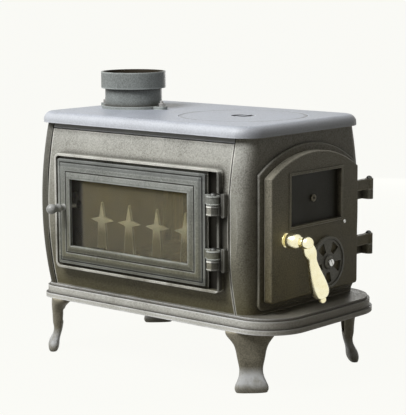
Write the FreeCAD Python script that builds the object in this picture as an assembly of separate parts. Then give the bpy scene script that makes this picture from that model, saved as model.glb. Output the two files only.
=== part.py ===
import FreeCAD, Part
import math
import os
from FreeCAD import Vector as V

# Cast iron box stove. Millimetres, +Z up, the front door faces -Y and the end door faces +X.
# Every piece is placed from the middle of the stove's body, and at the end the whole is moved
# so that the origin lies in the middle of its footprint on the floor.

# General clearances
overrun = 4.0
joint_gap = 0.3
seam_gap = 2.0
pin_clearance = 0.05
bolt_clearance = 0.15

# Heights of the main castings
leg_height = 111.0
base_height = 29.0
body_height = 325.0
top_thickness = 21.0
base_top = leg_height + base_height
body_top = base_top + body_height
top_face = body_top + top_thickness

# Body shell: flat ends, bowed front and back, rolled corners
body_half_width = 268.0
foot_half_depth = 166.0
head_half_depth = 164.5
belly_half_depth = 186.6
wall = 8.0
corner_radius = 30.0
seam_inset = 34.0
lip_width = 12.0
lip_thickness = 6.0
skirt_height = 10.0

# Top plate
top_overhang = 7.0
top_depth_overhang = 15.0
top_corner_radius = 45.0
top_edge_radius = 16.0
top_web = 15.0

# Round hot plate that lifts out of the top plate
plate_place_share = 0.4291
plate_radius = 124.0
plate_thickness = 10.0
plate_ledge = 8.0
plate_gap = 0.8
lifter_radius = 23.0
lifter_depth = 5.0
lifter_bar = 6.0

# Flue collar: a socket for a pipe of 120 mm
flue_inset = 96.0
flue_socket_radius = 60.75
flue_ring_radius = 65.5
flue_ring_height = 33.0
flue_neck_radius = 57.5
flue_neck_bore = 50.0
flue_neck_height = 41.0
flange_thickness = 6.0
flange_bolt_x = 76.0
flange_lug_radius = 12.0
flange_bolt_radius = 4.0
flange_nut_radius = 7.5
flange_nut_height = 7.0

# Base plate with its ash lip under the end door
base_depth_overhang = 12.0
base_left_overhang = 6.0
base_right_overhang = 68.0
base_left_radius = 36.0
base_right_radius = 85.0
base_lip_height = 9.0
base_step = 4.5
base_seat_height = 5.0
base_web = 11.0
base_pad_inset = 82.0
base_pad_y = 94.0
base_skirt = 10.0

# Cabriole legs, seen from the front: outer corner, knee, ankle and foot
leg_left_inset = 12.0
leg_right_inset = 2.0
leg_corner_inset = 18.0
leg_width = 92.0
leg_depth = 45.0
leg_kick = 8.0
leg_wall = 7.0
leg_seat = 14.0
leg_hollow_foot = 45.0
leg_bolt_inset = 20.0
leg_bolt_radius = 5.0
leg_bolt_head_radius = 8.5
leg_bolt_head_height = 6.0

# Bolts that hold the end castings to the base and the top
lug_inset = 24.0
lug_y = 106.0
lug_size = 30.0
lug_thickness = 11.0
frame_bolt_radius = 4.0
frame_bolt_head_radius = 7.0
frame_bolt_head_height = 5.5
frame_bolt_engage = 14.0

# Front door, flat, left of the middle
door_left_margin = 73.0
door_right_margin = 83.0
door_bottom_margin = 52.0
door_top_margin = 66.5
door_back = -188.0
door_edge_thickness = 7.0
door_step_rise = 3.0
door_lip_rise = 3.0
door_rim_flat = 5.0
door_slope_width = 11.0
door_band_width = 9.0
door_lip_slope = 7.5
door_lip_width = 5.0
door_corner_radius = 3.0
door_groove_width = 2.5
door_groove_depth = 1.5

# The panel's landing and raised rim around the front door
landing_y = -187.0
rim_front = -195.0
rim_margin = 10.0
rim_hinge_margin = 33.0
rim_width = 4.5
rim_corner_radius = 12.0
pad_back = -169.0
landing_width = 11.0
hinge_channel_gap = 1.0
hinge_channel_depth = 8.0

# Glass of the front door
glass_overlap = 9.0
glass_thickness = 4.0
seal_thickness = 1.0
glass_play = 1.5
clip_length = 30.0
clip_width = 22.0
clip_thickness = 2.0
clip_screw_radius = 2.5
clip_head_radius = 4.5
clip_head_height = 2.5

# Sealing ropes
rope_width = 6.0
rope_depth = 2.6
rope_inset = 2.5

# Hinges of the front door: pin axis, the height where each pair of knuckles meets
hinge_reach = 24.0
hinge_y = -200.0
hinge_upper_drop = 54.5
hinge_lower_rise = 52.0
knuckle_radius = 8.0
knuckle_height = 18.0
knuckle_play = 0.4
barrel_radius = 12.0
pin_radius = 3.5
pin_head_radius = 6.0
pin_head_height = 5.0
hinge_lug_reach = 21.5
hinge_lug_gap = 1.5
hinge_lug_margin = 4.0
hinge_lug_radius = 3.5
hinge_lug_front = -195.0

# Knob and latch of the front door
knob_inset = 19.0
knob_rise = 8.75
knob_length = 44.0
knob_radius = 10.0
knob_spindle_radius = 4.0
tongue_thickness = 6.0
tongue_half_width = 4.5
front_tongue_length = 26.0
tongue_gap = 1.0

# End door: arched casting on the raised surround of the right end panel
surround_thickness = 5.0
surround_margin = 14.0
end_door_gap = 1.0
end_door_thickness = 17.0
end_half_width = 134.0
end_bottom_margin = 22.0
end_crown_margin = 34.0
end_arch_radius = 242.0
end_corner_radius = 6.0
end_landing = 14.0
end_edge_radius = 3.0
recess_half_width = 78.0
recess_bottom_rise = 135.0
recess_top_drop = 39.5
recess_depth = 9.0
recess_frame = 5.0
recess_frame_rise = 1.5
back_pocket_depth = 3.0
back_pocket_inset = 16.0

# Inner heat shield of the end door and its fasteners
liner_left = -78.0
liner_right = 97.0
liner_bottom_drop = 16.0
liner_top_drop = 5.5
liner_thickness = 4.0
liner_stand_off = 11.0
liner_boss_radius = 9.0
liner_bolt_y = 0.0
liner_bolt_drop = 2.25
liner_bolt_radius = 4.0
liner_head_radius = 6.5
liner_head_height = 3.5
liner_socket_radius = 3.0
liner_screw_y = 88.0
liner_screw_drop = 9.0
liner_screw_radius = 2.5
liner_screw_head = 3.5

# Round air regulator on the end door
spinner_y = 32.0
spinner_rise = 55.0
spinner_radius = 49.0
spinner_thickness = 4.5
spinner_rim_width = 4.0
spinner_rim_rise = 2.0
spinner_hub_radius = 13.0
spinner_hub_rise = 5.0
spinner_gap = 0.4
air_slots = 5
air_slot_inner = 20.0
air_slot_outer = 40.0
air_slot_half_angle = 16.0
air_open_angle = 36.0
spinner_screw_radius = 4.0
spinner_head_radius = 7.0
spinner_head_height = 3.5

# Lever handle of the end door
handle_y = -95.0
handle_rise = 114.0
spindle_radius = 6.0
bush_radius = 9.0
bush_flange_radius = 13.0
bush_flange = 3.0
hub_radius = 15.5
hub_length = 33.0
ball_reach = 50.0
ball_radius = 12.0
grip_length = 128.0
grip_radius = 17.0
grip_tilt = 23.0
end_tongue_length = 33.0
latched_angle = 60.0
nut_height = 7.0
nut_radius = 9.0

# Hinges of the end door
end_hinge_reach = 16.0
end_hinge_y = 181.0
end_hinge_upper_drop = 91.0
end_hinge_lower_rise = 70.0
end_knuckle_height = 20.0
end_lug_half_width = 8.0
end_strap_thickness = 10.0

# Inner castings
grate_inset = 68.0
grate_front = 162.0
grate_back = 156.0
grate_rise = 50.0
grate_thickness = 14.0
grate_slots = 15
grate_slot_width = 10.0
grate_border = 16.0
grate_rib = 12.0
grate_foot = 22.0
grate_foot_inset = 14.0
burn_inset = 78.0
burn_front = 144.0
burn_thickness = 8.0
burn_top_gap = 14.0
burn_ribs = 9
burn_rib_depth = 4.0
burn_rib_width = 10.0
baffle_left_inset = 16.0
baffle_right_inset = 150.0
baffle_half_depth = 150.0
baffle_drop = 69.0
baffle_thickness = 6.0
shelf_length = 26.0
shelf_thickness = 8.0
shelf_left_inset = 118.0
shelf_right_inset = 178.0

# Log guard behind the glass: a rail with star-headed pickets
guard_front = -159.0
guard_thickness = 6.0
guard_inset = 118.0
guard_rail_height = 26.0
pickets = 4
picket_share = 0.4833
picket_middle = -3.0
star_rise = 90.0
star_up = 36.0
star_side = 28.0
star_waist = 6.0
post_half_width = 8.0
post_foot_half_width = 13.0

# Places that follow from the sizes above
seam_x = body_half_width - seam_inset
top_half_width = body_half_width + top_overhang
top_half_depth = head_half_depth + top_depth_overhang
plate_x = body_half_width * plate_place_share
flue_x = flue_inset - body_half_width
base_half_depth = foot_half_depth + base_depth_overhang
base_left = body_half_width + base_left_overhang
base_right = body_half_width + base_right_overhang
base_pad_x = body_half_width - base_pad_inset
leg_corner_y = base_half_depth - leg_corner_inset
leg_left_x = body_half_width - leg_left_inset
leg_right_x = body_half_width - leg_right_inset
lug_x = body_half_width - lug_inset
door_left = door_left_margin - body_half_width
door_right = body_half_width - door_right_margin
door_bottom = base_top + door_bottom_margin
door_top = body_top - door_top_margin
hinge_x = door_right + hinge_reach
hinge_upper_z = door_top - hinge_upper_drop
hinge_lower_z = door_bottom + hinge_lower_rise
knob_x = door_left + knob_inset
knob_z = (door_bottom + door_top) / 2 + knob_rise
end_bottom = base_top + end_bottom_margin
end_crown = body_top - end_crown_margin
recess_bottom = end_bottom + recess_bottom_rise
recess_top = end_crown - recess_top_drop
liner_bottom = recess_bottom - liner_bottom_drop
liner_top = recess_top - liner_top_drop
liner_bolt_z = (recess_bottom + recess_top) / 2 - liner_bolt_drop
liner_screw_z = recess_bottom - liner_screw_drop
spinner_z = end_bottom + spinner_rise
handle_z = end_bottom + handle_rise
end_hinge_x = body_half_width + end_hinge_reach
end_hinge_upper_z = end_crown - end_hinge_upper_drop
end_hinge_lower_z = end_bottom + end_hinge_lower_rise
grate_half_width = body_half_width - grate_inset
grate_top = base_top + grate_rise
burn_half_width = body_half_width - burn_inset
baffle_left = baffle_left_inset - body_half_width
baffle_right = body_half_width - baffle_right_inset
baffle_bottom = body_top - baffle_drop
burn_top = baffle_bottom - burn_top_gap
shelf_left_x = shelf_left_inset - body_half_width
shelf_right_x = body_half_width - shelf_right_inset
guard_half_width = body_half_width - guard_inset
picket_pitch = guard_half_width * picket_share
star_z = grate_top + star_rise


# Shapes that many pieces use

def block(x0, x1, y0, y1, z0, z1):
    low = V(min(x0, x1), min(y0, y1), min(z0, z1))
    return Part.makeBox(abs(x1 - x0), abs(y1 - y0), abs(z1 - z0), low)


def rod(centre, direction, radius, length):
    return Part.makeCylinder(radius, length, centre, direction)


def fused(shapes):
    return shapes[0].multiFuse(shapes[1:]).removeSplitter()


def prism(edges, sweep):
    return Part.Face(Part.Wire(Part.__sortEdges__(edges))).extrude(sweep)


def rounded_outline(corners, radii):
    # Closed outline through the corners, each rounded by its own radius
    edges = []
    starts = []
    ends = []
    count = len(corners)
    for i in range(count):
        corner = corners[i]
        before = (corners[i - 1] - corner).normalize()
        after = (corners[(i + 1) % count] - corner).normalize()
        reach = radii[i] / math.tan(before.getAngle(after) / 2)
        starts.append(corner + before * reach)
        ends.append(corner + after * reach)
        if radii[i] > 0:
            bisector = (before + after).normalize()
            depth = radii[i] / math.sin(before.getAngle(after) / 2) - radii[i]
            edges.append(Part.Arc(starts[i], corner + bisector * depth, ends[i]).toShape())
    for i in range(count):
        edges.append(Part.makeLine(ends[i], starts[(i + 1) % count]))
    return edges


def plan_slab(x0, x1, y0, y1, z0, z1, left_radius, right_radius):
    # Flat slab with rounded corners in plan
    corners = [V(x0, y0, z0), V(x1, y0, z0), V(x1, y1, z0), V(x0, y1, z0)]
    radii = [left_radius, right_radius, right_radius, left_radius]
    return prism(rounded_outline(corners, radii), V(0, 0, z1 - z0))


def front_slab(x0, x1, z0, z1, y0, y1, radius):
    # Slab that stands in the XZ plane, with rounded corners
    corners = [V(x0, y0, z0), V(x1, y0, z0), V(x1, y0, z1), V(x0, y0, z1)]
    return prism(rounded_outline(corners, [radius] * len(corners)), V(0, y1 - y0, 0))


def front_frustum(x0, x1, z0, z1, y0, y1, inset):
    # Rectangle at y0 that shrinks by the inset on its way to y1
    def outline(margin, y):
        return Part.makePolygon([V(x0 + margin, y, z0 + margin), V(x1 - margin, y, z0 + margin),
                                 V(x1 - margin, y, z1 - margin), V(x0 + margin, y, z1 - margin),
                                 V(x0 + margin, y, z0 + margin)])
    return Part.makeLoft([outline(0, y0), outline(inset, y1)], True, True)


def turned(stations, smooth):
    # Body of revolution about +Z from (height, radius) stations
    points = [V(radius, 0, height) for height, radius in stations]
    low = V(0, 0, points[0].z)
    high = V(0, 0, points[-1].z)
    if smooth:
        curve = Part.BSplineCurve()
        curve.interpolate(points)
        edges = [curve.toShape()]
    else:
        edges = [Part.makeLine(a, b) for a, b in zip(points, points[1:])]
    if points[0].x > 0:
        edges.append(Part.makeLine(low, points[0]))
    if points[-1].x > 0:
        edges.append(Part.makeLine(points[-1], high))
    edges.append(Part.makeLine(high, low))
    face = Part.Face(Part.Wire(Part.__sortEdges__(edges)))
    return face.revolve(V(0, 0, 0), V(0, 0, 1), 360)


def aimed(shape, place, direction):
    shape = shape.copy()
    shape.Placement = FreeCAD.Placement(place, FreeCAD.Rotation(V(0, 0, 1), direction))
    return shape


def hexagon(centre, direction, radius, height):
    corner = [V(radius * math.cos(math.radians(60 * i)), radius * math.sin(math.radians(60 * i)), 0)
              for i in range(6)]
    solid = Part.Face(Part.makePolygon(corner + corner[:1])).extrude(V(0, 0, height))
    return aimed(solid, centre, direction)


def dome(radius, height):
    # Low round head on the XY plane
    return turned([(0, radius), (height * dome_shoulder_share, radius * dome_round_share), (height, 0)], True)


dome_shoulder_share = 0.6
dome_round_share = 0.76


# The bowed body that the panels are cut from

def bow_arc(side, inset, x):
    middle = (base_top + body_top) / 2
    return Part.Arc(V(x, side * (foot_half_depth - inset), base_top),
                    V(x, side * (belly_half_depth - inset), middle),
                    V(x, side * (head_half_depth - inset), body_top)).toShape()


def barrel(inset):
    # Solid body, drawn in on all upright faces by the inset
    x0 = inset - body_half_width
    front = bow_arc(-1, inset, x0)
    back = bow_arc(1, inset, x0)
    foot = Part.makeLine(V(x0, inset - foot_half_depth, base_top), V(x0, foot_half_depth - inset, base_top))
    head = Part.makeLine(V(x0, inset - head_half_depth, body_top), V(x0, head_half_depth - inset, body_top))
    solid = prism([front, foot, back, head], V(-2 * x0, 0, 0))
    upright = [edge for edge in solid.Edges if edge.BoundBox.XLength < abs(overrun) / 2
               and edge.BoundBox.ZLength > body_height - overrun]
    return solid.makeFillet(corner_radius - inset, upright)


def half_space(side, x0, x1, z0, z1):
    # Box that takes in the front or the back half of the body
    return block(x0, x1, 0, side * (belly_half_depth + overrun), z0, z1)


outer_body = barrel(0)
inner_body = barrel(wall)
shell = outer_body.cut(inner_body)
lip_face = barrel(wall + joint_gap)
lip_core = barrel(wall + joint_gap + lip_thickness)
panel_half_width = seam_x - seam_gap
panel_top = body_top - skirt_height - seam_gap

pieces = {}


# Base plate: lip, band and seat in steps, hollow below between the leg pads

def base_step_slab(inset, z0, z1):
    return plan_slab(inset - base_left, base_right - inset, inset - base_half_depth, base_half_depth - inset,
                     z0, z1, base_left_radius - inset, base_right_radius - inset)


def base_hollow(half_x, half_y):
    return block(-half_x, half_x, -half_y, half_y, leg_height - overrun, base_top - base_web)


def corner_places(x, y):
    return [(side_x, side_y, V(side_x * x, side_y * y, 0)) for side_x in (-1, 1) for side_y in (-1, 1)]


def raised(place, z):
    return V(place.x, place.y, z)


lip_top = leg_height + base_lip_height
seat_foot = base_top - base_seat_height
base = fused([base_step_slab(0, leg_height, lip_top), base_step_slab(base_step, lip_top, seat_foot),
              base_step_slab(2 * base_step, seat_foot, base_top)])
base = base.cut(base_hollow(base_left - base_skirt, base_pad_y))
base = base.cut(base_hollow(base_pad_x, base_half_depth - base_skirt))
ash_hollow_y = base_half_depth - base_right_radius
base = base.cut(block(base_left, base_right - base_skirt, -ash_hollow_y, ash_hollow_y,
                      leg_height - overrun, base_top - base_web))

leg_bolt_y = leg_corner_y - leg_bolt_inset
leg_places = [(side_x, side_y, V(side_x * x, side_y * leg_corner_y, 0))
              for side_x, x in ((-1, leg_left_x), (1, leg_right_x)) for side_y in (-1, 1)]
leg_bolts = []
for side_x, side_y, corner in leg_places:
    place = V(corner.x - side_x * leg_bolt_inset, side_y * leg_bolt_y, 0)
    base = base.cut(rod(raised(place, leg_height - overrun), V(0, 0, 1), leg_bolt_radius + bolt_clearance,
                        base_height + 2 * overrun))
    shank = rod(raised(place, leg_height - leg_seat + joint_gap), V(0, 0, 1), leg_bolt_radius,
                base_height + leg_seat - joint_gap)
    head = aimed(dome(leg_bolt_head_radius, leg_bolt_head_height), raised(place, base_top), V(0, 0, 1))
    leg_bolts.append(shank.fuse(head))
pieces["leg_bolts"] = Part.makeCompound(leg_bolts)

base_bolts = []
top_bolts = []
for side_x, side_y, place in corner_places(lug_x, lug_y):
    hole = frame_bolt_radius + bolt_clearance
    base = base.cut(rod(raised(place, base_top - frame_bolt_engage), V(0, 0, 1), hole,
                        frame_bolt_engage + overrun))
    lug_top = base_top + lug_thickness
    shank = rod(raised(place, base_top - frame_bolt_engage + joint_gap), V(0, 0, 1), frame_bolt_radius,
                frame_bolt_engage - joint_gap + lug_thickness)
    head = hexagon(raised(place, lug_top), V(0, 0, 1), frame_bolt_head_radius, frame_bolt_head_height)
    base_bolts.append(shank.fuse(head))
    lug_foot = body_top - lug_thickness
    shank = rod(raised(place, lug_foot), V(0, 0, 1), frame_bolt_radius,
                lug_thickness + frame_bolt_engage - joint_gap)
    head = hexagon(raised(place, lug_foot), V(0, 0, -1), frame_bolt_head_radius, frame_bolt_head_height)
    top_bolts.append(shank.fuse(head))
pieces["base_plate"] = base
pieces["base_bolts"] = Part.makeCompound(base_bolts)
pieces["top_bolts"] = Part.makeCompound(top_bolts)


# Cabriole leg: a curved casting set across the corner, hollow behind, with a kicked-out pad foot

leg_shares = ((1.0, 1.0, 1.0, 0.0), (0.88, 0.88, 0.76, 0.0), (0.78, 0.70, 0.60, 0.0),
              (0.65, 0.60, 0.53, -0.12), (0.50, 0.53, 0.47, -0.22), (0.34, 0.475, 0.37, -0.35),
              (0.22, 0.54, 0.41, 0.35), (0.11, 0.66, 0.49, 1.0),
              (0.0, 0.62, 0.38, 0.85))
leg_round_share = 0.75
leg_section_points = 16


def leg_section(x, z, width, depth, out):
    # Closed outline at one height: width across the corner's diagonal, depth along it
    def eased(value):
        return math.copysign(abs(value) ** leg_round_share, value)
    points = []
    for i in range(leg_section_points):
        turn = 2 * math.pi * i / leg_section_points
        along = out - depth / 2 + depth / 2 * eased(math.cos(turn))
        across = width / 2 * eased(math.sin(turn))
        diagonal = math.sqrt(0.5)
        points.append(V(x + (along - across) * diagonal, leg_corner_y + (along + across) * diagonal, z))
    curve = Part.BSplineCurve()
    curve.interpolate(points, PeriodicFlag=True)
    return Part.Wire([curve.toShape()])


def leg(x):
    # A rear right leg at x; the other legs mirror it
    outside = [leg_section(x, h * leg_height, w * leg_width, d * leg_depth, k * leg_kick)
               for h, w, d, k in leg_shares]
    hollow = [leg_section(x, h * leg_height, w * leg_width - 2 * leg_wall, d * leg_depth,
                          k * leg_kick - leg_wall)
              for h, w, d, k in leg_shares if leg_hollow_foot < h * leg_height < leg_height - leg_seat]
    solid = Part.makeLoft(outside, True).cut(Part.makeLoft(hollow, True))
    return solid.cut(rod(V(x - leg_bolt_inset, leg_bolt_y, leg_height - leg_seat - overrun), V(0, 0, 1),
                         leg_bolt_radius + bolt_clearance, leg_seat + 2 * overrun))


for side_x, side_y, place in leg_places:
    turned_leg = leg(abs(place.x))
    if side_x < 0:
        turned_leg = turned_leg.mirror(V(0, 0, 0), V(1, 0, 0))
    if side_y < 0:
        turned_leg = turned_leg.mirror(V(0, 0, 0), V(0, 1, 0))
    name = "leg_" + ("front_" if side_y < 0 else "rear_") + ("left" if side_x < 0 else "right")
    pieces[name] = turned_leg


# End castings: flat end, rolled corners, lips behind the panels and bolted lugs

def end_casting(side):
    def slice_of(solid, x0, x1):
        return solid.common(block(side * x0, side * x1, -top_half_depth - overrun, top_half_depth + overrun,
                                  base_top, body_top))
    far = body_half_width + overrun
    lips = lip_face.cut(lip_core)
    lip_roots = inner_body.cut(lip_core)
    solids = [slice_of(shell, seam_x, far), slice_of(lips, seam_x - lip_width, seam_x),
              slice_of(lip_roots, seam_x, seam_x + lip_width)]
    casting = fused(solids)
    lugs = []
    for side_y in (-1, 1):
        half = lug_size / 2
        for z0 in (base_top, body_top - lug_thickness):
            lug = block(side * (lug_x - half), side * (body_half_width - wall / 2),
                        side_y * (lug_y - half), side_y * (lug_y + half), z0, z0 + lug_thickness)
            lugs.append(lug.common(outer_body))
    casting = fused([casting] + lugs)
    for side_y in (-1, 1):
        for z0 in (base_top, body_top - lug_thickness):
            casting = casting.cut(rod(V(side * lug_x, side_y * lug_y, z0 - overrun), V(0, 0, 1),
                                      frame_bolt_radius + bolt_clearance, lug_thickness + 2 * overrun))
    return casting


def arch_outline(x, margin, corner):
    # The end door's outline in the plane at x, drawn in by the margin
    half = end_half_width - margin
    radius = end_arch_radius - margin
    centre_z = end_crown - end_arch_radius
    spring = centre_z + math.sqrt(radius ** 2 - half ** 2)
    low = end_bottom + margin
    turn = corner * (1 - math.sqrt(0.5))
    return [Part.makeLine(V(x, corner - half, low), V(x, half - corner, low)),
            Part.Arc(V(x, half - corner, low), V(x, half - turn, low + turn),
                     V(x, half, low + corner)).toShape(),
            Part.makeLine(V(x, half, low + corner), V(x, half, spring)),
            Part.Arc(V(x, half, spring), V(x, 0, centre_z + radius), V(x, -half, spring)).toShape(),
            Part.makeLine(V(x, -half, spring), V(x, -half, low + corner)),
            Part.Arc(V(x, -half, low + corner), V(x, turn - half, low + turn),
                     V(x, corner - half, low)).toShape()]


def arch_slab(x0, x1, margin, corner):
    return prism(arch_outline(x0, margin, corner), V(x1 - x0, 0, 0))


def edges_at_x(solid, x):
    # Edges of a face that lies in the plane at x
    return [e for e in solid.Edges
            if abs(e.BoundBox.XMin - x) < joint_gap and abs(e.BoundBox.XMax - x) < joint_gap]


pieces["left_end_panel"] = end_casting(-1)

surround_face = body_half_width + surround_thickness
end_back = surround_face + end_door_gap
end_front = end_back + end_door_thickness
surround = arch_slab(body_half_width - wall, surround_face, -surround_margin, surround_margin)
surround = surround.makeFillet(end_edge_radius, edges_at_x(surround, surround_face))
right_end = fused([end_casting(1), surround])
right_end = right_end.cut(arch_slab(lug_x, surround_face + overrun, end_landing, end_corner_radius))


def end_lug(pair_z):
    # Fixed lower knuckle of an end door hinge on its arm from the rolled corner
    low = pair_z - end_knuckle_height
    high = pair_z - knuckle_play / 2
    barrel_part = rod(V(end_hinge_x, end_hinge_y, low), V(0, 0, 1), knuckle_radius, high - low)
    arm = block(seam_x + lip_width, end_hinge_x, end_hinge_y - end_lug_half_width,
                end_hinge_y + end_lug_half_width, low, high).cut(inner_body)
    root = block(seam_x + lip_width, body_half_width + surround_thickness, end_hinge_y - corner_radius,
                 end_hinge_y, low, high).cut(inner_body)
    return fused([barrel_part, arm, root])


def pin_hole(x, y, pair_z, height):
    return rod(V(x, y, pair_z - height - overrun), V(0, 0, 1), pin_radius + pin_clearance,
               2 * height + 2 * overrun)


def hinge_pin(x, y, pair_z, height):
    # Headed pin that drops in from above
    shank = rod(V(x, y, pair_z - height), V(0, 0, 1), pin_radius, 2 * height)
    head_foot = V(x, y, pair_z + height + joint_gap)
    neck = rod(V(x, y, pair_z + height), V(0, 0, 1), pin_radius, joint_gap)
    return fused([shank, neck, aimed(dome(pin_head_radius, pin_head_height), head_foot, V(0, 0, 1))])


end_pairs = (end_hinge_upper_z, end_hinge_lower_z)
right_end = fused([right_end] + [end_lug(z) for z in end_pairs])
for z in end_pairs:
    right_end = right_end.cut(pin_hole(end_hinge_x, end_hinge_y, z, end_knuckle_height))
pieces["right_end_panel"] = right_end
pieces["end_hinge_pins"] = Part.makeCompound([hinge_pin(end_hinge_x, end_hinge_y, z, end_knuckle_height)
                                              for z in end_pairs])


# Bowed front panel with the flat landing, raised rim and hinge lugs of the front door

def bowed_panel(side):
    return shell.common(half_space(side, -panel_half_width, panel_half_width, base_top, panel_top))


def baffle_shelf(side, x):
    # Cast shelf on the inside of a panel that carries the baffle
    half = shelf_length / 2
    return block(x - half, x + half, side * (baffle_half_depth - shelf_thickness), side * belly_half_depth,
                 baffle_bottom - shelf_thickness, baffle_bottom).common(outer_body)


shelf_places = (shelf_left_x, shelf_right_x)
rim_left = door_left - rim_margin
rim_right = door_right + rim_hinge_margin
rim_bottom = door_bottom - rim_margin
rim_top = door_top + rim_margin
pad = front_slab(rim_left, rim_right, rim_bottom, rim_top, rim_front, pad_back, rim_corner_radius)
field = front_slab(rim_left + rim_width, rim_right - rim_width, rim_bottom + rim_width, rim_top - rim_width,
                   rim_front - overrun, landing_y, rim_corner_radius - rim_width)
opening = front_slab(door_left + landing_width, door_right - landing_width, door_bottom + landing_width,
                     door_top - landing_width, rim_front - overrun, pad_back + overrun, rim_width)
channel_floor = landing_y + hinge_channel_depth
channel = block(door_right + hinge_channel_gap, rim_right - rim_width, rim_front, channel_floor,
                rim_bottom + rim_width, rim_top - rim_width)
front_pairs = (hinge_upper_z, hinge_lower_z)


def front_lug(pair_z):
    # Fixed lower knuckle beside a stout lug on the panel
    low = pair_z - knuckle_height
    high = pair_z - knuckle_play / 2
    barrel_part = rod(V(hinge_x, hinge_y, low), V(0, 0, 1), barrel_radius, high - low)
    lug_left = hinge_x + barrel_radius + hinge_lug_gap
    lug_back = wall / 2 - belly_half_depth
    web = block(hinge_x - barrel_radius / 2, lug_left, hinge_y, channel_floor, low, high)
    lug = front_slab(lug_left, hinge_x + hinge_lug_reach, low - hinge_lug_margin,
                     pair_z + knuckle_height + hinge_lug_margin, hinge_lug_front, lug_back, hinge_lug_radius)
    return fused([barrel_part, web, lug])


def knuckle_room(pair_z):
    # Room in the rim for the door's upper knuckle and its strap
    return block(rim_right - rim_width - overrun, hinge_x + barrel_radius + hinge_lug_gap,
                 hinge_y - barrel_radius - overrun, landing_y, pair_z - knuckle_play / 2,
                 pair_z + knuckle_height + hinge_lug_margin)


panel = fused([bowed_panel(-1), pad] + [baffle_shelf(-1, x) for x in shelf_places])
panel = panel.cut(field).cut(opening).cut(channel)
for z in front_pairs:
    panel = panel.cut(knuckle_room(z))
panel = fused([panel] + [front_lug(z) for z in front_pairs])
for z in front_pairs:
    panel = panel.cut(pin_hole(hinge_x, hinge_y, z, knuckle_height))
pieces["front_panel"] = panel
pieces["rear_panel"] = fused([bowed_panel(1)] + [baffle_shelf(1, x) for x in shelf_places])
pieces["front_hinge_pins"] = Part.makeCompound([hinge_pin(hinge_x, hinge_y, z, knuckle_height)
                                                for z in front_pairs])


# Top plate: rounded over at its edge, with skirts above the panels

top = plan_slab(-top_half_width, top_half_width, -top_half_depth, top_half_depth, body_top, top_face,
                top_corner_radius, top_corner_radius)
rim_edges = [e for e in top.Edges if abs(e.BoundBox.ZMin - top_face) < joint_gap]
top = top.makeFillet(top_edge_radius, rim_edges)
skirts = [shell.common(half_space(side, -panel_half_width, panel_half_width, body_top - skirt_height, body_top))
          for side in (-1, 1)]
pocket_x = lug_x - lug_size / 2 - wall / 2
pocket_y = head_half_depth - wall - lip_width
top = top.cut(block(-pocket_x, pocket_x, -pocket_y, pocket_y, body_top - overrun, top_face - top_web))
top = fused([top] + skirts)
ledge_top = top_face - plate_thickness
top = top.cut(rod(V(plate_x, 0, ledge_top), V(0, 0, 1), plate_radius + plate_gap, plate_thickness + overrun))
top = top.cut(rod(V(plate_x, 0, body_top - overrun), V(0, 0, 1), plate_radius - plate_ledge,
                  top_thickness + overrun))
top = top.cut(rod(V(flue_x, 0, body_top - overrun), V(0, 0, 1), flue_neck_bore, top_thickness + 2 * overrun))
for side_x, side_y, place in corner_places(lug_x, lug_y):
    top = top.cut(rod(raised(place, body_top - overrun), V(0, 0, 1), frame_bolt_radius + bolt_clearance,
                      frame_bolt_engage + overrun))

# Hot plate with a round lifter pocket and the bar that the lifter hooks
plate = rod(V(plate_x, 0, ledge_top), V(0, 0, 1), plate_radius, plate_thickness)
plate = plate.makeFillet(plate_gap, [e for e in plate.Edges if abs(e.BoundBox.ZMin - top_face) < joint_gap])
lifter = rod(V(plate_x, 0, top_face - lifter_depth), V(0, 0, 1), lifter_radius, lifter_depth + overrun)
lifter = lifter.cut(block(plate_x - lifter_bar / 2, plate_x + lifter_bar / 2, -lifter_radius, lifter_radius,
                          ledge_top, top_face + 2 * overrun))
pieces["hot_plate"] = plate.cut(lifter)

# Flue collar with its lugged flange, nuts and studs
ring_foot = top_face + flue_neck_height
ring_top = ring_foot + flue_ring_height
neck_wall = flue_neck_radius - flue_neck_bore
collar = fused([rod(V(flue_x, 0, top_face), V(0, 0, 1), flue_neck_radius, flue_neck_height),
                rod(V(flue_x, 0, ring_foot), V(0, 0, 1), flue_ring_radius, flue_ring_height),
                rod(V(flue_x, 0, top_face), V(0, 0, 1), flue_neck_radius + neck_wall, flange_thickness)]
               + [rod(V(flue_x + side * flange_bolt_x, 0, top_face), V(0, 0, 1), flange_lug_radius,
                      flange_thickness) for side in (-1, 1)]
               + [block(flue_x - flange_bolt_x, flue_x + flange_bolt_x, -flange_lug_radius, flange_lug_radius,
                        top_face, top_face + flange_thickness)])
collar = collar.cut(rod(V(flue_x, 0, top_face - overrun), V(0, 0, 1), flue_neck_bore, ring_top))
collar = collar.cut(rod(V(flue_x, 0, ring_foot + neck_wall / 2), V(0, 0, 1), flue_socket_radius,
                        flue_ring_height))
stud_foot = top_face - top_web / 2
collar_bolts = []
for side in (-1, 1):
    foot = V(flue_x + side * flange_bolt_x, 0, stud_foot)
    hole = rod(foot, V(0, 0, 1), flange_bolt_radius + bolt_clearance, top_face)
    top = top.cut(hole)
    collar = collar.cut(hole)
    nut_foot = top_face + flange_thickness
    stud = rod(foot, V(0, 0, 1), flange_bolt_radius, nut_foot + flange_nut_height + joint_gap - stud_foot)
    nut = hexagon(raised(foot, nut_foot), V(0, 0, 1), flange_nut_radius, flange_nut_height)
    collar_bolts.append(stud.fuse(nut))
pieces["top_plate"] = top
pieces["flue_collar"] = collar
pieces["collar_bolts"] = Part.makeCompound(collar_bolts)


# Front door frame: rim, slope, band, slope and lip around the glass

door_edge = door_back - door_edge_thickness
door_band = door_edge - door_step_rise
door_lip = door_band - door_lip_rise
band_inset = door_rim_flat + door_slope_width + door_band_width
window_inset = band_inset + door_lip_slope + door_lip_width


def door_rect(inset):
    return door_left + inset, door_right - inset, door_bottom + inset, door_top - inset


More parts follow.
